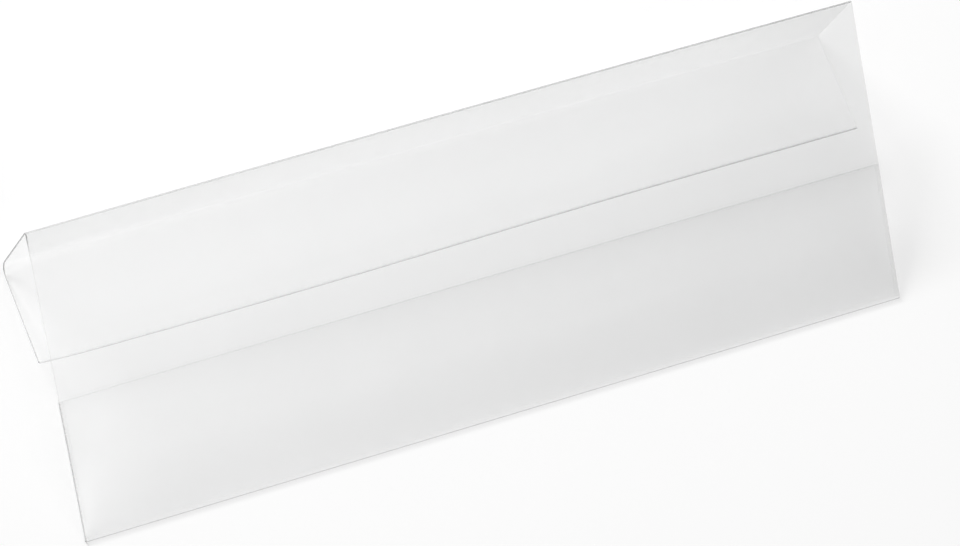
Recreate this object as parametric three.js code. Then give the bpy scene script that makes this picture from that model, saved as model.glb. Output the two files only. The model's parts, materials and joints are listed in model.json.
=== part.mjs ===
// Labelling pocket of clear film with a folded hook, lying on a surface.
// One sheet of film is folded up at the bottom edge into a shallow pocket for a paper label,
// and folded twice at the top into a hook that hangs over the rim of a box or a container.
// Millimetres, +Z up. X runs along the pocket, +Y runs towards the top fold, and the origin is
// the middle of the pocket's footprint, on the surface that it lies on.

import * as THREE from 'three';

// Driving dimensions
const pocketLength = 223;          // along X: a 210 mm label with room to slide it in
const filmThickness = 0.4;
const panelHeight = 77;            // front panel, outside of the bottom fold to outside of the top fold
const rearPanelHeight = 35;        // outside of the bottom fold to the pocket's mouth
const bridgeHeight = 25;           // outside of the top fold to outside of the flap fold
const flapHeight = 26.5;           // outside of the flap fold to the flap's free edge
const bottomFoldRadius = 0.45;     // inside radii of the folds
const topFoldRadius = 0.6;
const flapFoldRadius = 0.7;
const mouthGap = 0.4;              // between the two pocket panels at the mouth
const weldWidth = 1.2;             // side welds, along X
const topFoldAngle = 62;           // degrees between the front panel and the bridge, inside
const flapFoldAngle = 87;          // degrees between the bridge and the flap, inside

// Clearances
const seamGap = 0.3;               // between a panel and a fold that don't move on each other
const foldClearance = 0.06;        // between a panel's hollow end and the fold that it turns round
const weldClearance = 0.08;        // between a weld and each of its two panels

const foldSteps = 20;              // facets on each side of a fold
const endSteps = 6;                // facets across a hollow end

// Values that follow from them
const bottomFoldOuter = bottomFoldRadius + filmThickness;
const topFoldOuter = topFoldRadius + filmThickness;
const flapFoldOuter = flapFoldRadius + filmThickness;
const topFoldY = panelHeight - bottomFoldOuter - topFoldOuter;
const topFoldZ = bottomFoldRadius - topFoldRadius;
const flapFoldY = bridgeHeight - topFoldOuter - flapFoldOuter;
const flapFoldZ = topFoldRadius - flapFoldRadius;
const mouthY = rearPanelHeight - bottomFoldOuter;
const flapEdgeY = flapHeight - flapFoldOuter;
const rearTilt = Math.asin((2 * bottomFoldRadius - mouthGap) / mouthY);
const topFoldTurn = Math.PI + THREE.MathUtils.degToRad(topFoldAngle);
const flapFoldTurn = Math.PI + THREE.MathUtils.degToRad(flapFoldAngle);
const frontSlope = restingSlope();

// The front panel's slope when the bottom fold and the flap fold both touch the surface.
function restingSlope() {
  const angle = topFoldTurn - Math.PI;
  const alongSine = topFoldY - flapFoldY * Math.cos(angle) + flapFoldZ * Math.sin(angle);
  const alongCosine = topFoldZ - flapFoldY * Math.sin(angle) - flapFoldZ * Math.cos(angle);
  const rise = flapFoldOuter - bottomFoldOuter;
  const reach = Math.hypot(alongSine, alongCosine);
  return Math.asin(rise / reach) - Math.atan2(alongCosine, alongSine);
}

// Clear film. The folds are a little whiter, where the film is stretched, and the welds more so.
function filmMaterial(color, opacity) {
  return new THREE.MeshStandardMaterial({
    color,
    opacity,
    transparent: true,
    roughness: 0.12,
    metalness: 0,
  });
}

const clearFilm = () => filmMaterial(0xf1f4f6, 0.3);
const creasedFilm = () => filmMaterial(0xe6eaee, 0.45);
const weldedFilm = () => filmMaterial(0xdfe4e8, 0.6);

// A solid whose outline is drawn in the section plane (Y to the right, Z up), as long as asked
// along X and centred on middleX.
function prism(name, outline, length, middleX, steps, material) {
  const geometry = new THREE.ExtrudeGeometry(outline, {
    depth: length,
    bevelEnabled: false,
    curveSegments: steps,
  });
  geometry.translate(0, 0, -length / 2);
  const sectionAxes = new THREE.Matrix4().makeBasis(
    new THREE.Vector3(0, 1, 0),
    new THREE.Vector3(0, 0, 1),
    new THREE.Vector3(1, 0, 0),
  );
  geometry.applyMatrix4(sectionAxes);
  geometry.translate(middleX, 0, 0);
  const mesh = new THREE.Mesh(geometry, material);
  mesh.name = name;
  return mesh;
}

// A flat panel between two Y values, with its inner face at innerZ.
function flatOutline(startY, endY, innerZ) {
  const outline = new THREE.Shape();
  outline.moveTo(startY, innerZ);
  outline.lineTo(endY, innerZ);
  outline.lineTo(endY, innerZ + filmThickness);
  outline.lineTo(startY, innerZ + filmThickness);
  outline.closePath();
  return outline;
}

// A flat panel that turns about a fold at the origin: its start is hollowed to clear the fold.
function turningOutline(endY, innerRadius) {
  const outerRadius = innerRadius + filmThickness;
  const hollow = outerRadius + foldClearance;
  const outerAngle = Math.asin(outerRadius / hollow);
  const innerAngle = Math.asin(innerRadius / hollow);
  const outline = new THREE.Shape();
  outline.moveTo(endY, innerRadius);
  outline.lineTo(endY, outerRadius);
  outline.lineTo(hollow * Math.cos(outerAngle), outerRadius);
  outline.absarc(0, 0, hollow, outerAngle, innerAngle, true);
  outline.closePath();
  return outline;
}

// The bent film of a fold about the origin, from one angle in the section plane to another.
function foldOutline(innerRadius, startAngle, endAngle) {
  const outline = new THREE.Shape();
  outline.absarc(0, 0, innerRadius + filmThickness, startAngle, endAngle, false);
  outline.absarc(0, 0, innerRadius, endAngle, startAngle, true);
  outline.closePath();
  return outline;
}

function turnedGroup(y, z, turn) {
  const group = new THREE.Group();
  group.position.set(0, y, z);
  group.rotation.x = turn;
  return group;
}

function frontPanel() {
  const outline = flatOutline(seamGap, topFoldY - seamGap, bottomFoldRadius);
  return prism('front_panel', outline, pocketLength, 0, 1, clearFilm());
}

function bottomFold() {
  const startAngle = Math.PI / 2;
  const endAngle = 3 * Math.PI / 2 + rearTilt;
  const outline = foldOutline(bottomFoldRadius, startAngle, endAngle);
  return prism('bottom_fold', outline, pocketLength, 0, foldSteps, creasedFilm());
}

// The rear pocket panel leans towards the front panel, up to the mouth.
function rearPanel() {
  const group = turnedGroup(0, 0, rearTilt);
  const outline = flatOutline(seamGap, mouthY, -bottomFoldOuter);
  group.add(prism('rear_panel', outline, pocketLength, 0, 1, clearFilm()));
  return group;
}

// A weld fills the wedge between the two pocket panels, from the bottom fold to the mouth.
function sideWeld(name, side) {
  const frontFace = bottomFoldRadius - weldClearance;
  const rearFace = (y) => y * Math.tan(rearTilt) - frontFace / Math.cos(rearTilt);
  const topY = mouthY * Math.cos(rearTilt);
  const outline = new THREE.Shape();
  outline.moveTo(seamGap, rearFace(seamGap));
  outline.lineTo(topY, rearFace(topY));
  outline.lineTo(topY, frontFace);
  outline.lineTo(seamGap, frontFace);
  outline.closePath();
  const middleX = side * (pocketLength - weldWidth) / 2;
  return prism(name, outline, weldWidth, middleX, 1, weldedFilm());
}

// A fold that carries a turning panel: bent film from the outer normal of the panel before it to
// the outer normal of the panel that turns on it.
function hingeFold(name, y, z, innerRadius, turn) {
  const endAngle = Math.PI / 2;
  const startAngle = turn + Math.PI / 2 - 2 * Math.PI;
  const group = turnedGroup(y, z, 0);
  const outline = foldOutline(innerRadius, startAngle, endAngle);
  group.add(prism(name, outline, pocketLength, 0, foldSteps, creasedFilm()));
  return group;
}

const topFold = () => hingeFold('top_fold', topFoldY, topFoldZ, topFoldRadius, topFoldTurn);
const flapFold = () => hingeFold('flap_fold', flapFoldY, flapFoldZ, flapFoldRadius, flapFoldTurn);

function bridgePanel() {
  const outline = turningOutline(flapFoldY - seamGap, topFoldRadius);
  return prism('bridge_panel', outline, pocketLength, 0, endSteps, clearFilm());
}

function hangingFlap() {
  const outline = turningOutline(flapEdgeY, flapFoldRadius);
  return prism('hanging_flap', outline, pocketLength, 0, endSteps, clearFilm());
}

// Each fold's group sits on its axis: the flap turns on the bridge, and the bridge on the pocket.
const flap = turnedGroup(flapFoldY, flapFoldZ, flapFoldTurn);
flap.add(hangingFlap());

const bridge = turnedGroup(topFoldY, topFoldZ, topFoldTurn);
bridge.add(bridgePanel(), flapFold(), flap);

const footprint = topFoldY * Math.cos(frontSlope) - topFoldZ * Math.sin(frontSlope)
  + bottomFoldOuter + topFoldOuter;
const pocket = turnedGroup(bottomFoldOuter - footprint / 2, bottomFoldOuter, frontSlope);
pocket.add(frontPanel(), bottomFold(), rearPanel(), topFold(), bridge);
pocket.add(sideWeld('left_weld', -1), sideWeld('right_weld', 1));

const labellingPocket = new THREE.Group();
labellingPocket.add(pocket);

export default labellingPocket;
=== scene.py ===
"""A labelling pocket of clear film with a folded hook, lying on a pale surface.

One sheet of film is folded up at the bottom edge into a shallow label pocket and folded twice at
the top into a hook. The film is swept along its section, given its thickness, and softened at one
end of the lower hook fold, where the crease is less sharp. Metres, Z up, in the frame's axes.
"""

import json
import math

import bmesh
import bpy
from bpy.props import FloatProperty, FloatVectorProperty, IntProperty, PointerProperty
from bpy.types import Operator, Panel, PropertyGroup
from mathutils import Matrix, Vector


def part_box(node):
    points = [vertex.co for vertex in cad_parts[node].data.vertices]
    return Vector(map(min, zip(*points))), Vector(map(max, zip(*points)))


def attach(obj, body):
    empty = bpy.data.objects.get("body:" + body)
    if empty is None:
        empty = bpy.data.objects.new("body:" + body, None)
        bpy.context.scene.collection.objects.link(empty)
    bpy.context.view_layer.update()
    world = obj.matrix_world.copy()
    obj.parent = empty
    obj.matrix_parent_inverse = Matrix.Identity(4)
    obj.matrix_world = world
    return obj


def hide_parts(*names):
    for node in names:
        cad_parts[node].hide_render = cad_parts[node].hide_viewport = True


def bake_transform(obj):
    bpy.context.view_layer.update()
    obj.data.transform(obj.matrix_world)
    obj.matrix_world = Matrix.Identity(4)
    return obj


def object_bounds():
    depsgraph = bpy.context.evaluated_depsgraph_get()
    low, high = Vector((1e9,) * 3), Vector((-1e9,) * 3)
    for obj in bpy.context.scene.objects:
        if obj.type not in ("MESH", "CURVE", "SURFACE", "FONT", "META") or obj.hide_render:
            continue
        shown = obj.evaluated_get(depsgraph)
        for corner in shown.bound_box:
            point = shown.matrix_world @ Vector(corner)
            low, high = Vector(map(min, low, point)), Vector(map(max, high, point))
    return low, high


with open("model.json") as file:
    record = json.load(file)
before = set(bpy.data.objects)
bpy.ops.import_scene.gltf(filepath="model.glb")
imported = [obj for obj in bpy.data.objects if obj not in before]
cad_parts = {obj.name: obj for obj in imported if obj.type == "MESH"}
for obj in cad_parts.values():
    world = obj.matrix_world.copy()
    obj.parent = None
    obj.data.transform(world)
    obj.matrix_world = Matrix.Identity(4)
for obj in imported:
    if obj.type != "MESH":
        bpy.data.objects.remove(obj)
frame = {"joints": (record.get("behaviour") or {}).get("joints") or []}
cad_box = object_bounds()

bl_info = {
    "name": "Clear labelling pocket",
    "version": (1, 0, 0),
    "blender": (4, 5, 0),
    "location": "View3D > Sidebar > Pocket",
    "description": "Builds a clear film label pocket with a folded hook, and its studio stage",
    "category": "Add Mesh",
}

MM = 0.001
QUARTER = math.pi / 2
LENGTH = (cad_box[1] - cad_box[0]).x
FILM = 0.3 * MM               # the sheet's thickness

# Fold axes in the section plane (Y, Z), and the film's middle radius round each
AXES = {j["name"]: Vector(j["pos_m"][1:]) for j in frame["joints"]}
TOP_AXIS = AXES["top_fold_hinge"]
FLAP_AXIS = AXES["flap_fold_hinge"]
BOTTOM_RADIUS = 0.2 * MM
BOTTOM_OUTER = BOTTOM_RADIUS + FILM / 2
BOTTOM_AXIS = Vector(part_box("bottom_fold")[0].yz) + Vector((BOTTOM_OUTER, BOTTOM_OUTER))
TOP_RADIUS = 0.8 * MM
TOP_BEND = 0.36 * MM          # the top fold's own middle radius, between the same two panels
FLAP_RADIUS = 0.9 * MM
FLAP_TURN = math.radians(93)
REAR_LENGTH = 34.8 * MM
FLAP_LENGTH = 25.2 * MM
MOUTH_STEP = 0.8 * MM         # between the middles of the two pocket panels at the mouth
PINCH_GAP = 0.06 * MM         # left between the two pocket panels at the pocket's ends
WELD_INSET = 0.02 * MM        # between a weld and each of its two panels
WELD_BULGE = 0.06 * MM        # of a weld's rounded outer edge
WELD_STEPS = 8                # round that edge

# How the sheet strays from straight
CORNER_LIFT = 0.64 * MM       # of the flap's left corner
CORNER_LENGTH = 5 * MM        # over which that lift fades
BOW = 0.3 * MM                # of the sheet's upper part, along the pocket
PINCH_LENGTH = 10 * MM        # over which the pocket closes towards its ends
WAVE = 33.07                  # radians per metre along the flap's free edge
WAVE_CREST, WAVE_STOP = -40 * MM, 55 * MM    # its crest, and where it stops changing
SEED = 4.0

# The mesh at the film's cut ends
END_STRIP = 0.35 * MM         # from an end to the station next to it
END_REACH = 0.02 * MM         # what is nearer than this to an end is at it
MERGE = 0.002 * MM
SHARP = math.radians(40)

# Looks of the film that are the same for each piece
MIRROR_SHARE = 0.042          # of the light that meets a face straight on
SLANT_SHADE = 3.3              # how strongly a crease's painted shade grows as it is seen edge on
RIGHT_EDGE = 0.1              # how much painted shade the film's right end gets, where 1 is a crease
UPPER_RIM = 0.22              # how much painted shade the front panel's two ends get above the mouth
CREASE_WIDTH = 0.25 * MM      # beside a fold, over which its crease fades

# The stage
GLOW = 0.08                   # the lit surface's own light, which keeps its background white
WORLD_LIGHT = 0.27            # on the object, where the camera sees a background of 1
CAMERA_PLACE = (-0.61699, -0.06665, 1.55778)
CAMERA_RIGHT = (0.8917, -0.2942, 0.344)
CAMERA_BACK = (-0.3708, -0.0389, 0.9279)
FOCAL_LENGTH, SENSOR_WIDTH = 257.33, 36.0
LAMPS = (                     # name, place, what it points at, size and watts
    ("key_panel", (-1.41, 2.75, 1.41), (0, 0, 0), (1.1, 0.8), 134.0),
    ("top_panel", (0.45, 0.55, 0.95), (0.1, 0, 0), (0.7, 0.5), 2.1),
    ("front_panel_card", (0.0, -0.65, 0.95), (0, 0, 0), (0.7, 0.5), 1.9),
)


def unit(angle):
    return Vector((math.cos(angle), math.sin(angle)))


def tangent_angle(start, start_radius, end, end_radius):
    """Direction of the film that runs from one fold to the next, with both folds on its right."""
    way = end - start
    return math.atan2(way.y, way.x) + math.asin((start_radius - end_radius) / -way.length)


FRONT_ANGLE = tangent_angle(BOTTOM_AXIS, BOTTOM_RADIUS, TOP_AXIS, TOP_RADIUS)
BRIDGE_ANGLE = tangent_angle(TOP_AXIS, TOP_RADIUS, FLAP_AXIS, FLAP_RADIUS)
TOP_TURN = (FRONT_ANGLE - BRIDGE_ANGLE) % (2 * math.pi)
FLAP_ANGLE = BRIDGE_ANGLE - FLAP_TURN
REAR_ANGLE = FRONT_ANGLE + math.asin((2 * BOTTOM_RADIUS - MOUTH_STEP) / REAR_LENGTH)


# Sizes and finishes


class PocketSizes(PropertyGroup):
    stations: IntProperty(
        name="Stations", description="Steps of the film along the pocket", default=120, min=8
    )
    fold_steps: IntProperty(
        name="Fold steps", description="Steps of the film round each fold", default=16, min=6
    )
    camber: FloatProperty(
        name="Front camber",
        description="How far the front panel bulges between its folds",
        default=0.25 * MM,
        subtype="DISTANCE",
        unit="LENGTH",
    )
    soft_radius: FloatProperty(
        name="Soft fold radius",
        description="Middle radius of the lower hook fold at its soft end",
        default=3.2 * MM,
        subtype="DISTANCE",
        unit="LENGTH",
    )
    soft_length: FloatProperty(
        name="Soft fold length",
        description="How far along the pocket the soft end of that fold fades",
        default=13 * MM,
        subtype="DISTANCE",
        unit="LENGTH",
    )
    edge_wave: FloatProperty(
        name="Edge wave",
        description="How far the hook's free edge strays from straight",
        default=0.36 * MM,
        subtype="DISTANCE",
        unit="LENGTH",
    )
    ripple: FloatProperty(
        name="Ripple",
        description="Height of the film's faint unevenness",
        default=0.1 * MM,
        subtype="DISTANCE",
        unit="LENGTH",
    )
    weld_width: FloatProperty(
        name="Weld width",
        description="Width of each side weld",
        default=1.2 * MM,
        subtype="DISTANCE",
        unit="LENGTH",
    )


class PocketFinish(PropertyGroup):
    haze: FloatProperty(
        name="Haze",
        description="Share of light that one face of the film scatters",
        default=0.05,
        subtype="FACTOR",
    )
    # Painted shade: how strongly folds, free edges, cut ends and the bridge seen at a slant are
    # darkened
    crease_shade_share: FloatProperty(
        name="Crease haze",
        description="Share of light that one face scatters in a crease",
        default=0.42,
        subtype="FACTOR",
    )
    film_color: FloatVectorProperty(
        name="Film colour",
        description="Colour of the film's haze",
        default=(0.62, 0.63, 0.63),
        subtype="COLOR",
        size=3,
    )
    # Painted shade: the dark colour that folds, free edges, cut ends and the bridge seen at a
    # slant are given
    crease_shade_color: FloatVectorProperty(
        name="Crease colour",
        description="Colour of the film along its creases and its cut edges",
        default=(0.12, 0.125, 0.125),
        subtype="COLOR",
        size=3,
    )
    # Painted shade: the dark grey that the film's cut faces are given, for how an edge looks seen
    # along the sheet
    edge_shade_color: FloatVectorProperty(
        name="Cut edge colour",
        description="Colour of the film seen through its cut edge",
        default=(0.2, 0.205, 0.205),
        subtype="COLOR",
        size=3,
    )
    gloss_roughness: FloatProperty(
        name="Gloss roughness",
        description="Roughness of the film's shine",
        default=0.3,
        subtype="FACTOR",
    )


# Node helpers


def node(tree, kind, inputs=None, **settings):
    """A new node with its settings, and its inputs linked or given a value."""
    made = tree.nodes.new(kind)
    for name, value in settings.items():
        setattr(made, name, value)
    for key, value in (inputs or {}).items():
        socket = made.inputs[key]
        if isinstance(value, bpy.types.NodeSocket):
            tree.links.new(value, socket)
        else:
            socket.default_value = value
    return made


def calc(tree, operation, first, second=0.0, clamp=False):
    """The output of one Math node."""
    made = node(tree, "ShaderNodeMath", {0: first, 1: second}, operation=operation)
    made.use_clamp = clamp
    return made.outputs[0]


def times(tree, first, *others):
    """The product of two or more values."""
    for other in others:
        first = calc(tree, "MULTIPLY", first, other)
    return first


def ramp(tree, value, slope, base, clamp=False):
    """A value times a slope, plus a base."""
    return calc(tree, "ADD", times(tree, value, slope), base, clamp=clamp)


def scaled(tree, vector, factor):
    return node(
        tree, "ShaderNodeVectorMath", {0: vector, "Scale": factor}, operation="SCALE"
    ).outputs[0]


def added(tree, first, second):
    return node(tree, "ShaderNodeVectorMath", {0: first, 1: second}, operation="ADD").outputs[0]


def along_x(tree, value):
    return node(tree, "ShaderNodeCombineXYZ", {"X": value}).outputs[0]


def named(tree, name, data_type="FLOAT"):
    """What a mesh carries under a name, read in Geometry Nodes."""
    return node(
        tree, "GeometryNodeInputNamedAttribute", {"Name": name}, data_type=data_type
    ).outputs[0]


def stored(tree, mesh, name, value, domain="POINT"):
    """The mesh, with a number stored on it under a name."""
    return node(
        tree,
        "GeometryNodeStoreNamedAttribute",
        {"Geometry": mesh, "Name": name, "Value": value},
        data_type="FLOAT",
        domain=domain,
    ).outputs[0]


def fading(tree, distance, length):
    """1 at no distance, fading away over a length."""
    return calc(tree, "EXPONENT", calc(tree, "DIVIDE", distance, times(tree, length, -1.0)))


# Film sections


# What a point of a section carries, with its usual value. crease and rim_crease paint shade on
# the film at a fold and at a free edge, and cut_end is 1 on a free edge. body is the film's haze,
# which is raised towards the left or right end, where the film is darker. gleam and shine are how
# much it mirrors, edge on and anywhere. rim_share is how much painted shade its two cut ends get.
POINT_VALUES = {
    "crease": 0.0,
    "rim_crease": 0.0,
    "cut_end": 0.0,
    "ripple_share": 0.0,
    "body": 1.0,
    "gleam": 1.0,
    "shine": 1.0,
    "left_haze": 0.0,
    "right_haze": 0.0,
    "rim_share": 1.0,
}
# The ways in which a point can be moved: at the soft fold, at the flap's free edge, at the
# pocket's ends and along the whole bowed sheet
POINT_SHIFTS = ("soft_shift", "edge_shift", "pinch_shift", "bow_shift")


class Section:
    """Points of the film's middle line in the section plane, with what each one carries."""

    def __init__(self):
        self.points = []
        self.values = {name: [] for name in POINT_VALUES}
        self.shifts = {name: [] for name in POINT_SHIFTS}

    def add(self, point, **given):
        if self.points and (self.points[-1] - point).length < MERGE / 2:
            return
        self.points.append(point)
        for name, usual in POINT_VALUES.items():
            self.values[name].append(given.get(name, usual))
        for name in POINT_SHIFTS:
            self.shifts[name].append(given.get(name, Vector((0, 0))))

    def mesh(self, name):
        """The section as a chain of edges, with named attributes on its points."""
        mesh = bpy.data.meshes.new(name)
        places = [(0, p.x, p.y) for p in self.points]
        mesh.from_pydata(places, [(i, i + 1) for i in range(len(places) - 1)], [])
        for key, row in self.values.items():
            mesh.attributes.new(key, "FLOAT", "POINT").data.foreach_set("value", row)
        for key, row in self.shifts.items():
            flat = [c for v in row for c in (0, v.x, v.y)]
            mesh.attributes.new(key, "FLOAT_VECTOR", "POINT").data.foreach_set("vector", flat)
        return mesh


def spaced(start, end, fine, coarse):
    """Places from start to end, close together at both ends and wider apart between them."""
    places = [start]
    while places[-1] < end:
        near = min(places[-1] - start, end - places[-1])
        step = fine + (coarse - fine) * min(1.0, near / (8 * MM))
        places.append(min(end, places[-1] + step))
    if len(places) > 2 and places[-1] - places[-2] < fine / 2:
        places.pop(-2)
    return places


def rises(value, start, end):
    """0 before start and 1 after end, smooth between them."""
    t = min(1.0, max(0.0, (value - start) / (end - start)))
    return t * t * (3 - 2 * t)


def crease_share(distance):
    """How much of a fold's crease is left at this distance from it."""
    return math.exp(-distance / CREASE_WIDTH)


FRONT_START = BOTTOM_AXIS + BOTTOM_RADIUS * unit(FRONT_ANGLE + QUARTER)
FRONT_END = TOP_AXIS + TOP_RADIUS * unit(FRONT_ANGLE + QUARTER)
FRONT_LENGTH = (FRONT_END - FRONT_START).length
BRIDGE_START = TOP_AXIS + TOP_RADIUS * unit(BRIDGE_ANGLE + QUARTER)
BRIDGE_END = FLAP_AXIS + FLAP_RADIUS * unit(BRIDGE_ANGLE + QUARTER)
BRIDGE_LENGTH = (BRIDGE_END - BRIDGE_START).length

# Where the pocket's film gives way to the bridge's, and that one to the flap's
TOP_SEAM = FRONT_LENGTH - 6 * MM
BRIDGE_SEAM = 10 * MM
# How hazy the rear panel, the bridge and the flap are, where the front panel is 1
REAR_BODY, BRIDGE_BODY, FLAP_BODY = 0.4, 0.4, 0.15
FLAP_EDGE_BODY = 1.1
BRIDGE_SLANT_SHADE = 0.105           # painted shade that the bridge gets only as it is seen at a slant
# Distances from the bottom fold between which the film turns from clear to its usual haze
CLEAR_FOLD = 0.1 * MM, 0.8 * MM
# Distances past the flap fold between which the bridge's haze gives way to the flap's
FLAP_CHANGE = -1.2 * MM, 0.6 * MM


def front_point(along, camber):
    """The front panel's middle line, a little cambered, at a distance from the bottom fold."""
    share = along / FRONT_LENGTH
    bulge = camber * math.sin(math.pi * share) * math.sin(math.pi * share)
    lift = unit(FRONT_ANGLE + QUARTER) * bulge
    return FRONT_START + unit(FRONT_ANGLE) * along + lift


def pocket_step(along):
    """From the rear panel's middle to the front panel's, at a distance from the bottom fold."""
    return 2 * BOTTOM_RADIUS + (MOUTH_STEP - 2 * BOTTOM_RADIUS) * along / REAR_LENGTH


def pocket_pinch(along):
    """How far the rear panel closes towards the front panel at the pocket's ends."""
    return max(0.0, pocket_step(along) - FILM - PINCH_GAP) * rises(along, 0, 9 * MM)


def bow_shift(point):
    """The way the sheet's top bows along the pocket: nothing at the bottom fold."""
    height = (point.x - BOTTOM_AXIS.x) / (TOP_AXIS.x - BOTTOM_AXIS.x)
    return unit(FRONT_ANGLE) * min(1.0, max(0.0, height))


def turned_point(start, angle, corner, turn, radius, along):
    """A place on film that runs straight from a start and bends clockwise at a corner."""
    straight = corner - radius * math.tan(turn / 2)
    if along <= straight:
        return start + unit(angle) * along
    centre = start + unit(angle) * straight - unit(angle + QUARTER) * radius
    turned = min((along - straight) / radius, turn)
    rest = along - straight - turned * radius
    return centre + unit(angle + QUARTER - turned) * radius + unit(angle - turned) * rest


def hook_point(along, radius):
    """The film from the top fold over the lower hook fold, at a length from the bridge's start."""
    corner = BRIDGE_LENGTH + FLAP_RADIUS * math.tan(FLAP_TURN / 2)
    return turned_point(BRIDGE_START, BRIDGE_ANGLE, corner, FLAP_TURN, radius, along)


def pocket_section(sizes):
    """From the mouth down the rear panel, round the bottom fold and up the front panel."""
    section = Section()
    rear_normal = unit(REAR_ANGLE - QUARTER)
    rear_start = BOTTOM_AXIS + BOTTOM_RADIUS * rear_normal
    for along in reversed(spaced(0, REAR_LENGTH, fine=0.5 * MM, coarse=2 * MM)):
        point = rear_start + unit(REAR_ANGLE) * along
        lift = front_point(along, sizes.camber) - front_point(along, 0)
        off_fold = rises(along, *CLEAR_FOLD)
        at_mouth = along == REAR_LENGTH
        section.add(
            point + lift * rises(along, 0, 6 * MM),
            # Painted shade along the mouth's free edge
            rim_crease=0.15 * crease_share(REAR_LENGTH - along),
            cut_end=float(at_mouth),
            body=REAR_BODY * off_fold * (0.6 + 0.4 * rises(along, 10 * MM, 25 * MM)),
            gleam=0.1 * off_fold,
            rim_share=0.6 if at_mouth else 0.8,
            ripple_share=rises(along, 0, 12 * MM),
            pinch_shift=-rear_normal * pocket_pinch(along),
            bow_shift=bow_shift(point),
        )
    first, last = REAR_ANGLE - QUARTER, FRONT_ANGLE + QUARTER - 2 * math.pi
    steps = sizes.fold_steps * 2
    for i in range(steps + 1):
        angle = first + (last - first) * i / steps
        # Painted shade of the fold seen edge on, on the outer part of its lower half
        outside = rises(-math.cos(angle), 0.2, 0.6)
        below = rises(-math.sin(angle), -0.6, -0.15)
        section.add(
            BOTTOM_AXIS + BOTTOM_RADIUS * unit(angle),
            crease=2.8 * outside * below,
            body=0.0,
            gleam=0.0,
            shine=0.3,
            rim_share=3.0,
        )
    for along in spaced(0.03 * MM, TOP_SEAM, fine=0.5 * MM, coarse=2 * MM):
        point = front_point(along, sizes.camber)
        off_fold = rises(along, *CLEAR_FOLD)
        below_seam = 1 - rises(along, TOP_SEAM - 12 * MM, TOP_SEAM)
        section.add(
            point,
            shine=0.3 + 0.7 * rises(along, 0, 3 * MM),
            left_haze=0.8 * (1 - rises(along, 20 * MM, 45 * MM)),
            right_haze=0.5 + 0.5 * rises(along, 0, FRONT_LENGTH),
            body=off_fold * (0.75 + 0.25 * rises(along, 8 * MM, 25 * MM)),
            gleam=0.2 * off_fold + 0.8 * rises(along, 25 * MM, 45 * MM),
            ripple_share=rises(along, 0, 12 * MM) * below_seam,
            rim_share=0.8 if along < REAR_LENGTH else UPPER_RIM,
            bow_shift=bow_shift(point),
        )
    return section


def bridge_section(sizes):
    """From just below the top fold, over it and down the first half of the bridge."""
    section = Section()
    corner = FRONT_LENGTH + TOP_RADIUS * math.tan(TOP_TURN / 2)
    spare = (TOP_RADIUS - TOP_BEND) * math.tan(TOP_TURN / 2)
    for along in spaced(TOP_SEAM, FRONT_LENGTH + spare, fine=0.3 * MM, coarse=1 * MM):
        point = front_point(min(along, FRONT_LENGTH), sizes.camber)
        point += unit(FRONT_ANGLE) * max(0.0, along - FRONT_LENGTH)
        near_fold = rises(along, FRONT_LENGTH - 3 * MM, FRONT_LENGTH)
        section.add(
            point,
            rim_share=UPPER_RIM + (1 - UPPER_RIM) * near_fold,
            left_haze=1.1 * rises(along, FRONT_LENGTH - 6 * MM, FRONT_LENGTH - 3 * MM),
            right_haze=1.0,
            bow_shift=bow_shift(point),
        )
    for i in range(1, sizes.fold_steps + 1):
        share = i / sizes.fold_steps
        along = FRONT_LENGTH + spare + TOP_BEND * TOP_TURN * share
        point = turned_point(FRONT_START, FRONT_ANGLE, corner, TOP_TURN, TOP_BEND, along)
        normal = FRONT_ANGLE + QUARTER - TOP_TURN * share
        # Painted shade of the fold seen edge on, on its outer side
        outside = rises(math.cos(normal), 0.0, 0.5)
        section.add(
            point,
            crease=1.12 * outside,
            rim_crease=outside,
            body=1 + (BRIDGE_BODY - 1) * share,
            bow_shift=bow_shift(point),
        )
    for along in spaced(-spare, BRIDGE_SEAM, fine=0.4 * MM, coarse=1.5 * MM):
        section.add(
            hook_point(along, FLAP_RADIUS),
            # Painted shade: the top fold's crease, fading into the bridge's slant shade
            crease=max(BRIDGE_SLANT_SHADE, crease_share(along + spare)),
            body=BRIDGE_BODY,
            gleam=0.3,
            bow_shift=unit(FRONT_ANGLE),
        )
    return section


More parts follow.
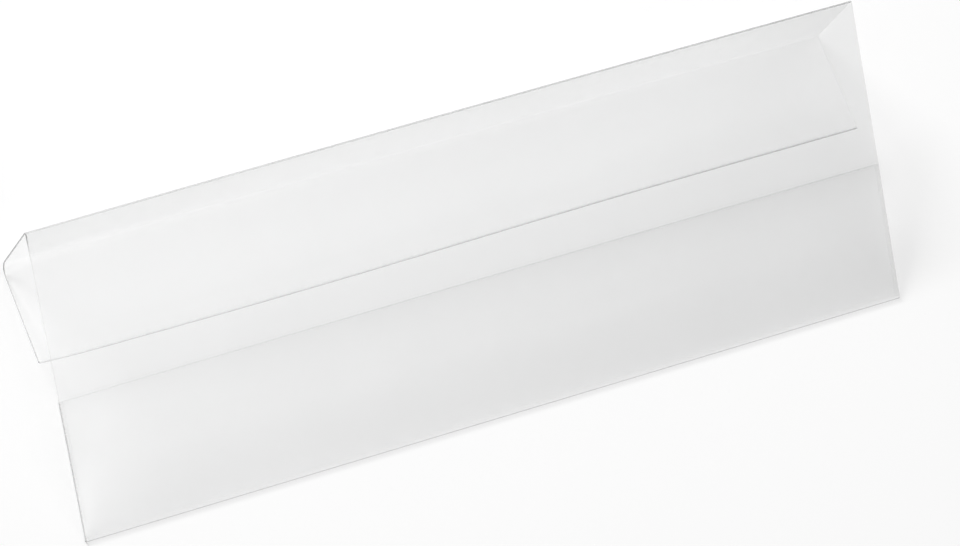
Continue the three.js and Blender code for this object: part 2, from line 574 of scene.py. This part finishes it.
def flap_section(sizes):
    """The rest of the bridge, the lower hook fold and the flap to its free edge."""
    section = Section()
    bend = FLAP_RADIUS * FLAP_TURN
    end = BRIDGE_LENGTH + bend + FLAP_LENGTH
    places = spaced(BRIDGE_SEAM, BRIDGE_LENGTH, fine=0.4 * MM, coarse=1.2 * MM)
    places += [BRIDGE_LENGTH + bend * i / sizes.fold_steps for i in range(1, sizes.fold_steps)]
    places += spaced(BRIDGE_LENGTH + bend, end, fine=0.3 * MM, coarse=1.6 * MM)
    for along in places:
        point = hook_point(along, FLAP_RADIUS)
        past_fold = along - BRIDGE_LENGTH - bend
        share = max(0.0, past_fold / FLAP_LENGTH)
        on_flap = rises(past_fold, *FLAP_CHANGE)
        flap_body = FLAP_BODY + (FLAP_EDGE_BODY - FLAP_BODY) * rises(share, 0.4, 1)
        section.add(
            point,
            # Painted shade of the bridge at a slant, which stops on the flap
            crease=BRIDGE_SLANT_SHADE * (1 - on_flap),
            # Painted shade along the flap's free edge
            rim_crease=0.9 * crease_share(end - along),
            cut_end=float(along >= end - 0.01 * MM),
            gleam=0.3 * rises(abs(past_fold + bend / 2), bend, 3 * bend),
            shine=1 - 0.5 * rises(past_fold, 0, 4 * MM),
            rim_share=1 - 0.45 * rises(past_fold, -bend, 0) if along < end else 1.0,
            body=BRIDGE_BODY + (flap_body - BRIDGE_BODY) * on_flap,
            ripple_share=rises(past_fold, 1 * MM, 14 * MM),
            soft_shift=hook_point(along, sizes.soft_radius) - point,
            edge_shift=unit(FLAP_ANGLE) * share,
            bow_shift=unit(FRONT_ANGLE),
        )
    return section


# Swept film


# Inputs of the node tree, by the kind of their sockets
FILM_INPUTS = {
    "NodeSocketGeometry": ("Section",),
    "NodeSocketFloat": (
        "Length",
        "Thickness",
        "Soft Length",
        "Soft Reach",
        "Edge Wave",
        "Corner Lift",
        "Bow",
        "Ripple",
        "Pinch Length",
        "Left Edge",
        "Right Edge",
        "Rightward Darkening",
        "Seed",
    ),
    "NodeSocketInt": ("Stations",),
    "NodeSocketMaterial": ("Film", "Cut Edge"),
}


class FilmTree:
    """Geometry Nodes that sweep a section along X into a closed sheet of film."""

    def __init__(self):
        self.tree = tree = bpy.data.node_groups.new("swept_film", "GeometryNodeTree")
        for kind, names in FILM_INPUTS.items():
            for name in names:
                tree.interface.new_socket(name, in_out="INPUT", socket_type=kind)
        tree.interface.new_socket("Sheet", in_out="OUTPUT", socket_type="NodeSocketGeometry")
        self.given = tree.nodes.new("NodeGroupInput").outputs
        self.half = times(tree, self.given["Length"], 0.5)
        self.place = tree.nodes.new("GeometryNodeInputPosition").outputs[0]
        self.x = node(tree, "ShaderNodeSeparateXYZ", {0: self.place}).outputs["X"]
        # -1 at the left end and 1 at the right one
        self.part = calc(tree, "DIVIDE", self.x, self.half)
        self.from_end = calc(tree, "SUBTRACT", self.half, calc(tree, "ABSOLUTE", self.x))
        self.at_end = calc(tree, "LESS_THAN", self.from_end, END_REACH)
        self.rim_share = named(tree, "rim_share")
        at_left = times(tree, self.at_end, calc(tree, "LESS_THAN", self.x, 0.0))
        at_right = times(tree, self.at_end, calc(tree, "GREATER_THAN", self.x, 0.0))
        self.side_share = calc(
            tree,
            "ADD",
            times(tree, at_left, self.given["Left Edge"]),
            times(tree, at_right, self.given["Right Edge"]),
        )
        sheet = self.with_wall(self.with_looks(self.surface()))
        node(tree, "NodeGroupOutput", {"Sheet": self.with_materials(sheet)})

    def surface(self):
        """The section swept from one end to the other, without a thickness."""
        tree = self.tree
        ends = {
            "Start": along_x(tree, times(tree, self.half, -1.0)),
            "End": along_x(tree, self.half),
        }
        line = node(tree, "GeometryNodeCurvePrimitiveLine", ends)
        stations = {"Curve": line.outputs[0], "Count": self.given["Stations"]}
        across = node(tree, "GeometryNodeResampleCurve", stations)
        path = node(tree, "GeometryNodeMeshToCurve", {"Mesh": self.given["Section"]})
        return node(
            tree,
            "GeometryNodeCurveToMesh",
            {"Curve": path.outputs[0], "Profile Curve": across.outputs[0]},
        ).outputs[0]

    def with_looks(self, mesh):
        """The mesh with painted shade at its free edges and two ends, and its haze raised towards
        the ends.
        """
        tree = self.tree
        # Painted shade at the free edges, darker towards the right end, and at the two cut ends
        free_edge = times(tree, named(tree, "rim_crease"), ramp(tree, self.part, 0.25, 0.8))
        ends = times(tree, self.side_share, self.rim_share)
        mesh = stored(tree, mesh, "end_crease", calc(tree, "MAXIMUM", free_edge, ends))
        # Darker towards the right and at both ends: the haze is raised there
        left = calc(tree, "MAXIMUM", times(tree, self.part, -1.0), 0.0)
        right = calc(tree, "POWER", calc(tree, "MAXIMUM", self.part, 0.0), 3.0)
        rise = ramp(tree, self.part, self.given["Rightward Darkening"], 1.0)
        rise = calc(tree, "ADD", rise, times(tree, left, named(tree, "left_haze")))
        rise = calc(tree, "ADD", rise, times(tree, right, named(tree, "right_haze")))
        return stored(tree, mesh, "body", times(tree, named(tree, "body"), rise))

    def end_slide(self):
        """Moves the stations next to the two ends close to them, for a narrow dark edge."""
        tree = self.tree
        gaps = calc(tree, "SUBTRACT", self.given["Stations"], 1.0)
        spacing = calc(tree, "DIVIDE", self.given["Length"], gaps)
        inside = calc(tree, "GREATER_THAN", self.from_end, times(tree, spacing, 0.5))
        beside = calc(tree, "LESS_THAN", self.from_end, times(tree, spacing, 1.5))
        way = calc(tree, "SUBTRACT", spacing, END_STRIP)
        return along_x(tree, times(tree, inside, beside, way, calc(tree, "SIGN", self.x)))

    def shift(self):
        """How far each place is moved from the plain swept film."""
        tree, given = self.tree, self.given
        from_left = calc(tree, "ADD", self.x, self.half)
        soft = fading(tree, from_left, given["Soft Length"])
        from_crest = calc(
            tree, "SUBTRACT", calc(tree, "MINIMUM", self.x, WAVE_STOP), WAVE_CREST
        )
        wave = calc(tree, "COSINE", times(tree, from_crest, WAVE))
        edge = times(tree, calc(tree, "ADD", wave, 1.0), given["Edge Wave"])
        corner = times(tree, fading(tree, from_left, CORNER_LENGTH), given["Corner Lift"])
        edge = calc(tree, "SUBTRACT", edge, corner)
        edge = calc(tree, "SUBTRACT", edge, times(tree, soft, given["Soft Reach"]))
        bow = calc(tree, "SUBTRACT", 0.6, times(tree, self.part, self.part))
        noise = node(
            tree,
            "ShaderNodeTexNoise",
            {"Vector": self.place, "W": given["Seed"], "Scale": 14.0, "Detail": 1.0},
            noise_dimensions="4D",
        ).outputs[0]
        ripple = times(tree, calc(tree, "SUBTRACT", noise, 0.5), given["Ripple"])
        ripple = times(tree, ripple, named(tree, "ripple_share"))
        up = unit(FRONT_ANGLE + QUARTER)
        moved = added(tree, scaled(tree, (0.0, up.x, up.y), ripple), self.end_slide())
        for name, factor in (
            ("soft_shift", soft),
            ("edge_shift", edge),
            ("bow_shift", times(tree, bow, given["Bow"])),
            ("pinch_shift", fading(tree, self.from_end, given["Pinch Length"])),
        ):
            moved = added(tree, moved, scaled(tree, named(tree, name, "FLOAT_VECTOR"), factor))
        return moved

    def with_wall(self, mesh):
        """The surface moved into shape, as a closed sheet with the film's thickness."""
        tree, thickness = self.tree, self.given["Thickness"]
        shaped = node(
            tree, "GeometryNodeSetPosition", {"Geometry": mesh, "Offset": self.shift()}
        ).outputs[0]
        normal = tree.nodes.new("GeometryNodeInputNormal").outputs[0]
        inward = scaled(tree, normal, times(tree, thickness, -0.5))
        inner = node(
            tree, "GeometryNodeSetPosition", {"Geometry": shaped, "Offset": inward}
        ).outputs[0]
        outer = node(
            tree,
            "GeometryNodeExtrudeMesh",
            {"Mesh": inner, "Offset Scale": thickness, "Individual": False},
            mode="FACES",
        ).outputs
        rim = stored(tree, outer["Mesh"], "rim", outer["Side"], "FACE")
        back = node(tree, "GeometryNodeFlipFaces", {"Mesh": inner}).outputs[0]
        both = node(tree, "GeometryNodeJoinGeometry")
        tree.links.new(rim, both.inputs[0])
        tree.links.new(back, both.inputs[0])
        return node(
            tree,
            "GeometryNodeMergeByDistance",
            {"Geometry": both.outputs[0], "Distance": MERGE},
        ).outputs[0]

    def with_materials(self, mesh):
        """The sheet as film, with its cut edges marked and in their own material."""
        tree = self.tree
        on_rim = calc(tree, "GREATER_THAN", named(tree, "rim"), 0.5)
        cut = calc(tree, "GREATER_THAN", named(tree, "cut_end"), 0.9)
        cut = times(tree, calc(tree, "MAXIMUM", cut, self.at_end), on_rim)
        # Painted shade on the cut faces: at the two ends by their settings, along free edges
        # darker to the right
        free = times(
            tree, calc(tree, "SUBTRACT", 1.0, self.at_end), ramp(tree, self.part, 0.15, 0.85)
        )
        edge_share = times(tree, self.rim_share, calc(tree, "ADD", self.side_share, free))
        mesh = stored(tree, mesh, "joined", calc(tree, "SUBTRACT", on_rim, cut), "FACE")
        mesh = stored(tree, mesh, "cut", cut, "FACE")
        mesh = stored(tree, mesh, "edge_share", edge_share, "FACE")
        real = node(tree, "GeometryNodeRealizeInstances", {"Geometry": mesh})
        filmed = node(
            tree,
            "GeometryNodeSetMaterial",
            {"Geometry": real.outputs[0], "Material": self.given["Film"]},
        )
        return node(
            tree,
            "GeometryNodeSetMaterial",
            {
                "Geometry": filmed.outputs[0],
                "Selection": calc(tree, "GREATER_THAN", named(tree, "cut"), 0.5),
                "Material": self.given["Cut Edge"],
            },
        ).outputs[0]


def settled(mesh):
    """Points all faces of a closed mesh outwards, and shades it smooth up to its sharp edges."""
    work = bmesh.new()
    work.from_mesh(mesh)
    if work.calc_volume(signed=True) < 0:
        bmesh.ops.reverse_faces(work, faces=work.faces)
    open_edges = sum(len(e.link_faces) != 2 for e in work.edges)
    work.to_mesh(mesh)
    work.free()
    if open_edges:
        raise RuntimeError(f"{mesh.name} has {open_edges} open edges")
    mesh.polygons.foreach_set("use_smooth", [True] * len(mesh.polygons))
    mesh.set_sharp_from_angle(angle=SHARP)


def add_film(name, section, left_edge, rightward_darkening):
    """A film piece from its section, through the node tree, as a plain mesh."""
    sizes = bpy.context.scene.pocket_sizes
    tree = bpy.data.node_groups.get("swept_film") or FilmTree().tree
    source = bpy.data.objects.new(name + "_section", section.mesh(name + "_section"))
    bpy.context.scene.collection.objects.link(source)
    modifier = source.modifiers.new("Swept film", "NODES")
    modifier.node_group = tree
    corner = sizes.soft_radius - FLAP_RADIUS
    settings = {
        "Length": LENGTH,
        "Thickness": FILM,
        "Soft Length": sizes.soft_length,
        "Soft Reach": corner * (2 * math.tan(FLAP_TURN / 2) - FLAP_TURN),
        "Edge Wave": sizes.edge_wave,
        "Corner Lift": CORNER_LIFT,
        "Bow": BOW,
        "Ripple": sizes.ripple * 2,
        "Pinch Length": PINCH_LENGTH,
        "Left Edge": left_edge,
        "Right Edge": RIGHT_EDGE,
        "Rightward Darkening": rightward_darkening,
        "Stations": sizes.stations,
        "Seed": SEED,
        "Film": material("clear_film_looks", clear_film),
        "Cut Edge": material("cut_edge_looks", cut_edge),
    }
    for item in tree.interface.items_tree:
        if item.in_out == "INPUT" and item.name in settings:
            modifier[item.identifier] = settings[item.name]
    graph = bpy.context.evaluated_depsgraph_get()
    mesh = bpy.data.meshes.new_from_object(
        source.evaluated_get(graph), preserve_all_data_layers=True, depsgraph=graph
    )
    mesh.name = name
    bpy.data.objects.remove(source)
    settled(mesh)
    piece = bpy.data.objects.new(name, mesh)
    bpy.context.scene.collection.objects.link(piece)
    return piece


# Materials


def material(name, surface):
    """The material of that name, which its surface function builds the first time."""
    found = bpy.data.materials.get(name)
    if found:
        return found
    made = bpy.data.materials.new(name)
    made.use_nodes = True
    tree = made.node_tree
    tree.nodes.clear()
    node(tree, "ShaderNodeOutputMaterial", {"Surface": surface(tree).outputs[0]})
    return made


def object_place(tree):
    return node(tree, "ShaderNodeTexCoord").outputs["Object"]


def uneven(tree, scale, detail=3.0):
    """Soft noise that stays with its piece."""
    settings = {"Vector": object_place(tree), "Scale": scale, "Detail": detail}
    return node(tree, "ShaderNodeTexNoise", settings).outputs[0]


def carried(tree, name):
    """What a mesh carries under a name, read in a material."""
    return node(tree, "ShaderNodeAttribute", attribute_name=name).outputs["Fac"]


def facing_away(tree):
    return node(tree, "ShaderNodeLayerWeight", {"Blend": 0.5}).outputs["Facing"]


def clear_film(tree):
    """Clear film: nearly all light goes through, some is mirrored, a little is scattered, and
    painted shade darkens its creases.
    """
    finish = bpy.context.scene.pocket_finish
    across = node(tree, "ShaderNodeSeparateXYZ", {0: object_place(tree)}).outputs["X"]
    # Painted shade along folds and edges, darker towards the right end and strongest where seen
    # edge on
    crease = times(tree, carried(tree, "crease"), ramp(tree, across, 0.3 / LENGTH, 0.85))
    slant = times(tree, calc(tree, "POWER", facing_away(tree), 2.0), SLANT_SHADE)
    crease = times(tree, crease, slant)
    crease = calc(tree, "MAXIMUM", crease, carried(tree, "end_crease"), clamp=True)
    # The film's inner joints, between two swept pieces, show nothing
    there = calc(tree, "SUBTRACT", 1.0, carried(tree, "joined"), clamp=True)
    cloud = ramp(tree, uneven(tree, 22.0), 0.5, 0.75)
    haze = times(tree, cloud, carried(tree, "body"), finish.haze)
    # Painted shade is added to the haze, and the scatter takes the dark shade colour there
    haze = calc(tree, "ADD", haze, times(tree, crease, finish.crease_shade_share))
    haze = calc(tree, "MULTIPLY", haze, there, clamp=True)
    haze_and_shade_tint = node(
        tree,
        "ShaderNodeMix",
        {0: crease, 6: (*finish.film_color, 1), 7: (*finish.crease_shade_color, 1)},
        data_type="RGBA",
    ).outputs[2]
    scatter = node(
        tree,
        "ShaderNodeBsdfPrincipled",
        {"Base Color": haze_and_shade_tint, "Roughness": 0.4, "IOR": 1.5},
    )
    clear = node(tree, "ShaderNodeBsdfTransparent", {"Color": (1, 1, 1, 1)})
    body = node(
        tree, "ShaderNodeMixShader", {0: haze, 1: clear.outputs[0], 2: scatter.outputs[0]}
    )
    mirror = node(
        tree,
        "ShaderNodeBsdfAnisotropic",
        {"Color": (1, 1, 1, 1), "Roughness": finish.gloss_roughness},
    )
    grazing = calc(tree, "POWER", facing_away(tree), 20.0)
    sheen = ramp(tree, grazing, carried(tree, "gleam"), MIRROR_SHARE, clamp=True)
    share = times(tree, sheen, there, carried(tree, "shine"))
    return node(
        tree, "ShaderNodeMixShader", {0: share, 1: body.outputs[0], 2: mirror.outputs[0]}
    )


def cut_edge(tree):
    """The film's cut edge: painted shade, darker because it is looked through along the sheet."""
    finish = bpy.context.scene.pocket_finish
    alpha = ramp(tree, uneven(tree, 160.0), 0.3, 0.45)
    alpha = calc(tree, "MULTIPLY", alpha, carried(tree, "edge_share"), clamp=True)
    return node(
        tree,
        "ShaderNodeBsdfPrincipled",
        {
            "Base Color": (*finish.edge_shade_color, 1),
            "Roughness": 0.35,
            "IOR": 1.5,
            "Alpha": alpha,
        },
    )


def welded_film(tree):
    """Film fused to film: a little whiter than the sheet."""
    finish = bpy.context.scene.pocket_finish
    grain = uneven(tree, 350.0)
    bump = node(
        tree, "ShaderNodeBump", {"Strength": 0.3, "Distance": 0.05 * MM, "Height": grain}
    ).outputs[0]
    return node(
        tree,
        "ShaderNodeBsdfPrincipled",
        {
            "Base Color": (*finish.film_color, 1),
            "Roughness": 0.3,
            "IOR": 1.5,
            "Alpha": ramp(tree, grain, 0.04, 0.01, clamp=True),
            "Normal": bump,
        },
    )


# Pieces


class POCKET_OT_pocket_film(Operator):
    """Adds the front panel, the bottom fold and the rear panel as one sheet"""

    bl_idname = "pocket.add_pocket_film"
    bl_label = "Pocket Film"

    def execute(self, context):
        section = pocket_section(context.scene.pocket_sizes)
        piece = add_film("pocket_film", section, left_edge=0.55, rightward_darkening=0.12)
        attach(piece, "pocket")
        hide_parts("front_panel", "bottom_fold", "rear_panel")
        return {"FINISHED"}


class POCKET_OT_bridge_film(Operator):
    """Adds the top fold and the bridge, between the pocket and the hook"""

    bl_idname = "pocket.add_bridge_film"
    bl_label = "Bridge Film"

    def execute(self, context):
        section = bridge_section(context.scene.pocket_sizes)
        piece = add_film("bridge_film", section, left_edge=1.3, rightward_darkening=0.05)
        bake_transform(piece)
        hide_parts("top_fold", "bridge_panel")
        return {"FINISHED"}


class POCKET_OT_flap_film(Operator):
    """Adds the lower hook fold and the hanging flap below the bridge"""

    bl_idname = "pocket.add_flap_film"
    bl_label = "Flap Film"

    def execute(self, context):
        section = flap_section(context.scene.pocket_sizes)
        piece = add_film("flap_film", section, left_edge=1.3, rightward_darkening=0.25)
        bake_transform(piece)
        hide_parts("flap_fold", "hanging_flap")
        return {"FINISHED"}


def weld_mesh(name, side, sizes):
    """A weld between the two pocket panels, with a slightly rounded outer edge."""
    inward = unit(FRONT_ANGLE + QUARTER)
    outer = side * LENGTH / 2
    inner = outer - side * sizes.weld_width
    rings = []
    for along in spaced(0.3 * MM, REAR_LENGTH - 0.2 * MM, fine=0.5 * MM, coarse=2 * MM):
        front = front_point(along, sizes.camber) - inward * (FILM / 2 + WELD_INSET)
        depth = pocket_step(along) - pocket_pinch(along) - FILM - 2 * WELD_INSET
        depth = max(0.02 * MM, depth)
        ring = []
        for i in range(WELD_STEPS + 1):
            turn = math.pi * i / WELD_STEPS
            bulge = WELD_BULGE * (math.sin(turn) - 0.5)
            point = front - inward * depth * (1 - math.cos(turn)) / 2
            ring.append((outer + side * bulge, point.x, point.y))
        for share in (1.0, 0.5, 0.0):
            point = front - inward * depth * share
            ring.append((inner, point.x, point.y))
        rings.append(ring)
    count = len(rings[0])
    places = [p for ring in rings for p in ring]
    faces = [tuple(range(count)), tuple(range(len(places) - count, len(places)))[::-1]]
    for r in range(len(rings) - 1):
        for i in range(count):
            a, b = r * count + i, r * count + (i + 1) % count
            faces.append((b, a, a + count, b + count))
    mesh = bpy.data.meshes.new(name)
    mesh.from_pydata(places, [], faces)
    return mesh


class POCKET_OT_side_welds(Operator):
    """Adds the weld at each end of the pocket"""

    bl_idname = "pocket.add_side_welds"
    bl_label = "Side Welds"

    def execute(self, context):
        for name, side in (("left_weld", -1), ("right_weld", 1)):
            mesh = weld_mesh(name + "_bead", side, context.scene.pocket_sizes)
            settled(mesh)
            mesh.materials.append(material("welded_film_looks", welded_film))
            piece = bpy.data.objects.new(name + "_bead", mesh)
            context.scene.collection.objects.link(piece)
            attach(piece, "pocket")
            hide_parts(name)
        return {"FINISHED"}


# Stage


def background_share(tree, with_mirrors=True):
    """1 for a ray that shows the background: from the camera, or by way of metal or glass."""
    path = node(tree, "ShaderNodeLightPath").outputs
    share = calc(tree, "MAXIMUM", path["Is Camera Ray"], path["Is Transmission Ray"])
    return calc(tree, "MAXIMUM", share, path["Is Glossy Ray"]) if with_mirrors else share


def white_surface(tree):
    """A white surface that the camera sees as plain white where no shadow falls."""
    surface = node(
        tree,
        "ShaderNodeBsdfPrincipled",
        {
            "Base Color": (0.93, 0.93, 0.93, 1),
            "Roughness": ramp(tree, uneven(tree, 60.0, 2.0), 0.1, 0.75),
            "Specular IOR Level": 0.0,
        },
    )
    strength = times(tree, background_share(tree), GLOW)
    glow = node(tree, "ShaderNodeEmission", {"Strength": strength})
    return node(tree, "ShaderNodeAddShader", {0: surface.outputs[0], 1: glow.outputs[0]})


def studio_world():
    """Dim surroundings, with a plain white background for the camera."""
    world = bpy.data.worlds.new("studio")
    bpy.context.scene.world = world
    world.use_nodes = True
    tree = world.node_tree
    tree.nodes.clear()
    strength = ramp(tree, background_share(tree, False), 1 - WORLD_LIGHT, WORLD_LIGHT)
    sky = node(
        tree, "ShaderNodeBackground", {"Color": (1, 1, 1, 1), "Strength": strength}
    )
    node(tree, "ShaderNodeOutputWorld", {"Surface": sky.outputs[0]})


def soft_panel(name, place, aim, size, watts):
    """A large soft lamp that the camera doesn't see."""
    lamp = bpy.data.lights.new(name, "AREA")
    lamp.shape = "RECTANGLE"
    lamp.size, lamp.size_y = size
    lamp.energy = watts
    panel = bpy.data.objects.new(name, lamp)
    back = (Vector(place) - Vector(aim)).normalized()
    facing = back.to_track_quat("Z", "Y").to_matrix().to_4x4()
    panel.matrix_world = Matrix.Translation(place) @ facing
    panel.visible_camera = False
    bpy.context.scene.collection.objects.link(panel)


def studio_camera():
    """The camera at the photograph's viewing angle, which a fit to the film's corners gave."""
    lens = bpy.data.cameras.new("camera")
    lens.sensor_width = SENSOR_WIDTH
    lens.lens = FOCAL_LENGTH
    lens.clip_start, lens.clip_end = 0.05, 50.0
    camera = bpy.data.objects.new("camera", lens)
    right = Vector(CAMERA_RIGHT).normalized()
    back = Vector(CAMERA_BACK)
    back = (back - right * back.dot(right)).normalized()
    turned = Matrix((right, back.cross(right), back)).transposed().to_4x4()
    camera.matrix_world = Matrix.Translation(CAMERA_PLACE) @ turned
    bpy.context.scene.collection.objects.link(camera)
    return camera


class POCKET_OT_stage(Operator):
    """Adds the surface, the soft lamps and the camera"""

    bl_idname = "pocket.add_stage"
    bl_label = "Stage"

    def execute(self, context):
        scene = context.scene
        work = bmesh.new()
        bmesh.ops.create_grid(work, x_segments=4, y_segments=4, size=3.0)
        mesh = bpy.data.meshes.new("surface")
        work.to_mesh(mesh)
        work.free()
        mesh.transform(Matrix.Translation((0, 0, -0.05 * MM)))
        mesh.materials.append(material("white_surface", white_surface))
        surface = bpy.data.objects.new("surface", mesh)
        scene.collection.objects.link(surface)
        studio_world()
        for lamp in LAMPS:
            soft_panel(*lamp)
        scene.camera = studio_camera()
        scene.view_settings.view_transform = "Standard"
        scene.cycles.transparent_max_bounces = 32
        return {"FINISHED"}


# Add-on


class POCKET_PT_sidebar(Panel):
    """Lists the sizes, the finishes and the pieces"""

    bl_idname = "POCKET_PT_sidebar"
    bl_label = "Labelling Pocket"
    bl_space_type = "VIEW_3D"
    bl_region_type = "UI"
    bl_category = "Pocket"

    def draw(self, context):
        column = self.layout.column()
        for group in (context.scene.pocket_sizes, context.scene.pocket_finish):
            for name in group.bl_rna.properties.keys():
                if name not in ("rna_type", "name"):
                    column.prop(group, name)
        for operator in OPERATORS:
            column.operator(operator.bl_idname)


OPERATORS = (
    POCKET_OT_stage,
    POCKET_OT_pocket_film,
    POCKET_OT_bridge_film,
    POCKET_OT_flap_film,
    POCKET_OT_side_welds,
)
CLASSES = (PocketSizes, PocketFinish, *OPERATORS, POCKET_PT_sidebar)


def register():
    for cls in CLASSES:
        bpy.utils.register_class(cls)
    bpy.types.Scene.pocket_sizes = PointerProperty(type=PocketSizes)
    bpy.types.Scene.pocket_finish = PointerProperty(type=PocketFinish)


def unregister():
    del bpy.types.Scene.pocket_finish
    del bpy.types.Scene.pocket_sizes
    for cls in reversed(CLASSES):
        bpy.utils.unregister_class(cls)


def main():
    register()
    bpy.ops.pocket.add_stage()
    bpy.ops.pocket.add_pocket_film()
    bpy.ops.pocket.add_bridge_film()
    bpy.ops.pocket.add_flap_film()
    bpy.ops.pocket.add_side_welds()


if __name__ == "__main__":
    main()
